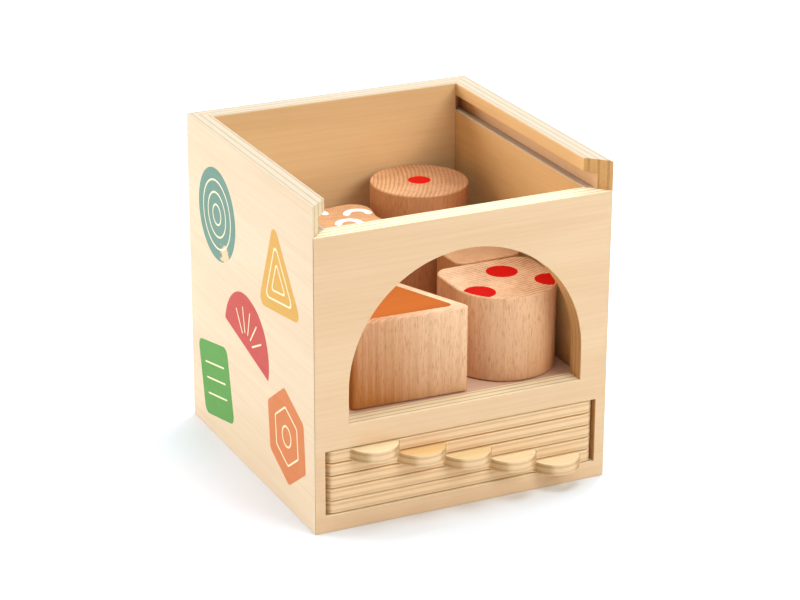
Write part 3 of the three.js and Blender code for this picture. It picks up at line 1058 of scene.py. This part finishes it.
def stroke(path, width):
    """A brush stroke: the path moved aside by half its width on both sides, with round ends."""
    path = np.array(path, float)
    aside = right_of(unit(np.gradient(path, axis=0)))
    half = width / 2
    start_angle = math.degrees(math.atan2(-aside[0, 1], -aside[0, 0]))
    end_angle = math.degrees(math.atan2(aside[-1, 1], aside[-1, 0]))
    return join(
        (path + half * aside, aside),
        arc(path[-1], half, end_angle, end_angle + 180),
        (path[::-1] - half * aside[::-1], -aside[::-1]),
        arc(path[0], half, start_angle, start_angle + 180))


def gathered(plates):
    """Several plates as one, with the corner numbers of each moved past those before it."""
    starts = np.cumsum([0] + [len(plate[0]) for plate in plates[:-1]])
    shifts = [(0, 0, start, start) for start in starts]
    shifted = [[part + by for part, by in zip(*pair)] for pair in zip(plates, shifts)]
    return tuple(np.vstack(parts) for parts in zip(*shifted))


print("a short stroke has", len(stroke([(0, 0), (1, 0)], 0.5)[0]), "points")

# %% [markdown]
# ## The painted tops
#
# Red dots, an orange triangle and white bows lie on the flat tops of four blocks. Each coat
# starts a little inside the wood and stands a little proud of it, so no two faces coincide.

# %% Paint on the blocks
COAT_SINK = 0.03
COAT_RISE = 0.04
COAT_EASE = 0.01


def coat_on_top(name, block, shapes, paint):
    """Coats of one paint on the flat top of a block, each a list of loops."""
    top = block_tops[block][1]
    coats = [eased_plate(loops, top - COAT_SINK, top + COAT_RISE, COAT_EASE) for loops in shapes]
    return add_piece(name, gathered(coats), {}, paints[paint], block + "_block")


DOT_RADIUS = 7.6
DOT_INSET = 0.6 * BLOCK_EASE
ARCH_DOTS = [(42.3, -30.0), (20.5, -49.5), (58.5, -48.5)]
arch_points, arch_outward = block_tops["arch"][0]
arch_rim = (arch_points - DOT_INSET * arch_outward, arch_outward)
arch_dots = [[cut_at(disc(middle, DOT_RADIUS), middle, arch_rim)] for middle in ARCH_DOTS]
coat_on_top("arch_dots", "arch", arch_dots, "red")

CYLINDER_DOT = 5.6
coat_on_top("cylinder_dot", "cylinder", [[disc(BLOCKS["cylinder"][1], CYLINDER_DOT)]], "red")

TRIANGLE_BORDER = 4.5
FIELD_CORNER = 2.5
field_centres = drawn_in(TRIANGLE_CENTRES, TRIANGLE_BORDER + FIELD_CORNER - TRIANGLE_CORNER)
triangle_field = moved(around(field_centres, FIELD_CORNER), *BLOCKS["triangle"][1:3])
coat_on_top("triangle_field", "triangle", [[triangle_field]], "orange")

ARC_WIDTH = 3.4
ARC_TURN = (-10.0, 164.0)
SCALLOP_ARCS = [((-4.6, 31.2), 5.4), ((-14.0, 20.2), 5.2), ((-23.6, 38.6), 4.8)]
bows = [[stroke(arc(middle, radius, *ARC_TURN)[0], ARC_WIDTH)] for middle, radius in SCALLOP_ARCS]
coat_on_top("scallop_arcs", "scallop", bows, "white")

# %% [markdown]
# ## The printed side
#
# The left side carries five plain shapes in bright paint with fine pale lines over them, the
# kind of print that suits a sorting toy. Fields and lines are plates too. Each is drawn flat,
# from back to front and from the floor up, and then stood on the wall.

# %% Print helpers
FIELD_RISE = 0.030
LINE_RISE = 0.046
LINE_WIDTH = 0.9
FOOT_CORNER = 0.8
SHOULDER = 1.0
HALF_STEPS = 20


def regular(sides, radius, start=90.0):
    """Corners of a regular polygon, counted from an angle in degrees."""
    return radius * ray(np.radians(start + 360 * np.arange(sides) / sides))


def half_disc(radius):
    """A half circle on a straight foot, with the two corners of the foot just broken."""
    crown = radius - SHOULDER
    corners = oblong(-radius, 0, radius, radius)
    return rounded(corners, [FOOT_CORNER, FOOT_CORNER, crown, crown], HALF_STEPS)


def line(first, last):
    """A thin straight line, as one loop."""
    return [stroke([first, last], LINE_WIDTH)]


def ring(radius):
    """A thin circle: its outer edge, and its inner edge as a hole."""
    return [disc((0, 0), radius + LINE_WIDTH / 2), as_hole(disc((0, 0), radius - LINE_WIDTH / 2))]


def frame_line(corners, corner_radius):
    """A thin outline of a polygon with rounded corners."""
    inner = drawn_in(corners, LINE_WIDTH)
    return [rounded(corners, corner_radius), as_hole(rounded(inner, corner_radius - LINE_WIDTH / 2))]


def coat_on_side(name, shapes, place, turn, rise, paint):
    """Coats of one paint on the outer face of the left wall, each a list of loops."""
    coats = [eased_plate([moved(loop, place, turn) for loop in loops], -COAT_SINK, rise, COAT_EASE)
             for loops in shapes]
    on_wall = stood(gathered(coats), TO_FRONT, (PAINT_COAT - HALF, 0, 0))
    return add_piece(name, on_wall, {}, paints[paint], "box")


print("a half disc has", len(half_disc(10.0)[0]), "points")

# %% Printed side
DISC_RADIUS, DISC_RINGS = 23.0, (5.0, 11.0, 17.0)
TRIANGLE_RADIUS, TRIANGLE_ROUND = 29.0, 4.0
TRIANGLE_FRAMES = ((19.0, 2.5), (10.0, 1.5))
HALF_RADIUS = 27.0
FAN, FAN_FROM, FAN_TO = np.radians([40, 65, 90, 115, 140]), 8.0, 20.0
SQUARE_RADIUS, SQUARE_ROUND, SQUARE_START = 27.0, 4.5, 45.0
BAR_HALF, BAR_HEIGHTS = 12.0, (-8.0, 0.0, 8.0)
HEXAGON_RADIUS, HEXAGON_ROUND = 24.0, 3.0
HEXAGON_FRAME, HEXAGON_RING = (15.0, 2.0), 5.0
# Field, paint, place from back to front and upward, turn in degrees, and lines
PRINTS = {
    "disc": (
        disc((0, 0), DISC_RADIUS), "teal", (-38.0, 118.0), 0.0,
        [ring(radius) for radius in DISC_RINGS]),
    "triangle": (
        rounded(regular(3, TRIANGLE_RADIUS), TRIANGLE_ROUND), "mustard", (35.0, 109.0), 8.0,
        [frame_line(regular(3, radius), corner) for radius, corner in TRIANGLE_FRAMES]),
    "half_disc": (
        half_disc(HALF_RADIUS), "crimson", (-4.0, 62.0), -14.0,
        [line(FAN_FROM * ray(angle), FAN_TO * ray(angle)) for angle in FAN]),
    "square": (
        rounded(regular(4, SQUARE_RADIUS, SQUARE_START), SQUARE_ROUND),
        "green", (-44.0, 30.0), 12.0,
        [line((-BAR_HALF, height), (BAR_HALF, height)) for height in BAR_HEIGHTS]),
    "hexagon": (
        rounded(regular(6, HEXAGON_RADIUS), HEXAGON_ROUND), "coral", (43.0, 36.0), 5.0,
        [frame_line(regular(6, HEXAGON_FRAME[0]), HEXAGON_FRAME[1]), ring(HEXAGON_RING)]),
}

for name, (field, paint, place, turn, lines) in PRINTS.items():
    coat_on_side(f"print_{name}", [[field]], place, turn, FIELD_RISE, paint)
    coat_on_side(f"print_{name}_lines", lines, place, turn, LINE_RISE, "cream")

# %% [markdown]
# ## Floor and light
#
# The box stands on a white table in soft light from all round. A bright world would give that at
# once, but it would also fill the inside of the box and the window. Wide lamps leave those dark:
# one above, two behind on the right and two in front for the tops and the front, and two on the
# left that make the printed side the palest. The world is only a faint glow. The colours go
# straight to the screen.

# %% Floor
FLOOR_HALF = 12.0
FLOOR_GLOSS = 0.1
FLOOR_ROUGH = 0.9
FLOOR_CLOUD = ((3, 3, 3), 2.0)
FLOOR_WHITES = ((0.82, 0.80, 0.77, 1), (0.84, 0.82, 0.79, 1))


def add_floor():
    """One large white sheet under the box, with the faintest unevenness."""
    corners = [(x, y, 0.0) for x, y in oblong(-FLOOR_HALF, -FLOOR_HALF, FLOOR_HALF, FLOOR_HALF)]
    mesh = bpy.data.meshes.new("table")
    mesh.from_pydata(corners, [], [(0, 1, 2, 3)])
    material, tree, shader = new_finish("table_white", FLOOR_GLOSS)
    place = add_node(tree, "TexCoord", {}).outputs["Object"]
    white = tint(noise(place, *FLOOR_CLOUD), *FLOOR_WHITES)
    feed(shader, {"Base Color": white, "Roughness": FLOOR_ROUGH})
    mesh.materials.append(material)
    table = new_object("table", mesh)
    return table


print("stage:", add_floor().name)

# %% Light
WORLD_GLOW = 0.05
SKY = (0.74, 0.87, 1.0)
COOL = (0.805, 0.81, 0.885)
PLAIN = (0.89, 0.95, 1.0)
BOX_MIDDLE = np.array([0.0, 0.0, 0.08])
STRAIGHT_DOWN = 0.99
# Place, size, power and glow
LAMPS = {
    "above": ((0.0, 0.0, 1.4), 0.9, 19.0, SKY),
    "back": ((0.45, 0.75, 1.15), 0.9, 8.0, SKY),
    "back_right": ((0.8, 0.45, 1.0), 0.6, 6.5, SKY),
    "front_right": ((0.7, -1.2, 1.15), 0.8, 15.2, PLAIN),
    "front": ((0.1, -1.6, 0.7), 1.0, 7.0, PLAIN),
    "left": ((-1.25, 0.8, 0.5), 0.7, 24.5, COOL),
    "left_low": ((-1.5, -0.2, 0.16), 0.3, 2.0, COOL),
}


def add_lamp(name, place, size, power, glow):
    """A square soft lamp that looks from its place at the middle of the box."""
    lamp = bpy.data.lights.new(name, "AREA")
    lamp.size = size
    lamp.energy = power
    lamp.color = glow
    away = unit(np.array(place) - BOX_MIDDLE)
    beside = unit(np.cross([0, 1, 0] if away[2] > STRAIGHT_DOWN else [0, 0, 1], away))
    aim(new_object(name, lamp), beside, np.cross(away, beside), away, place)


for name, lamp in LAMPS.items():
    add_lamp(name, *lamp)
world = bpy.data.worlds.new("studio")
world.use_nodes = True
feed(world.node_tree.nodes["Background"].inputs, {"Color": (1, 1, 1, 1), "Strength": WORLD_GLOW})
bpy.context.scene.world = world
bpy.context.scene.view_settings.view_transform = "Standard"
print("lamps:", ", ".join(LAMPS))
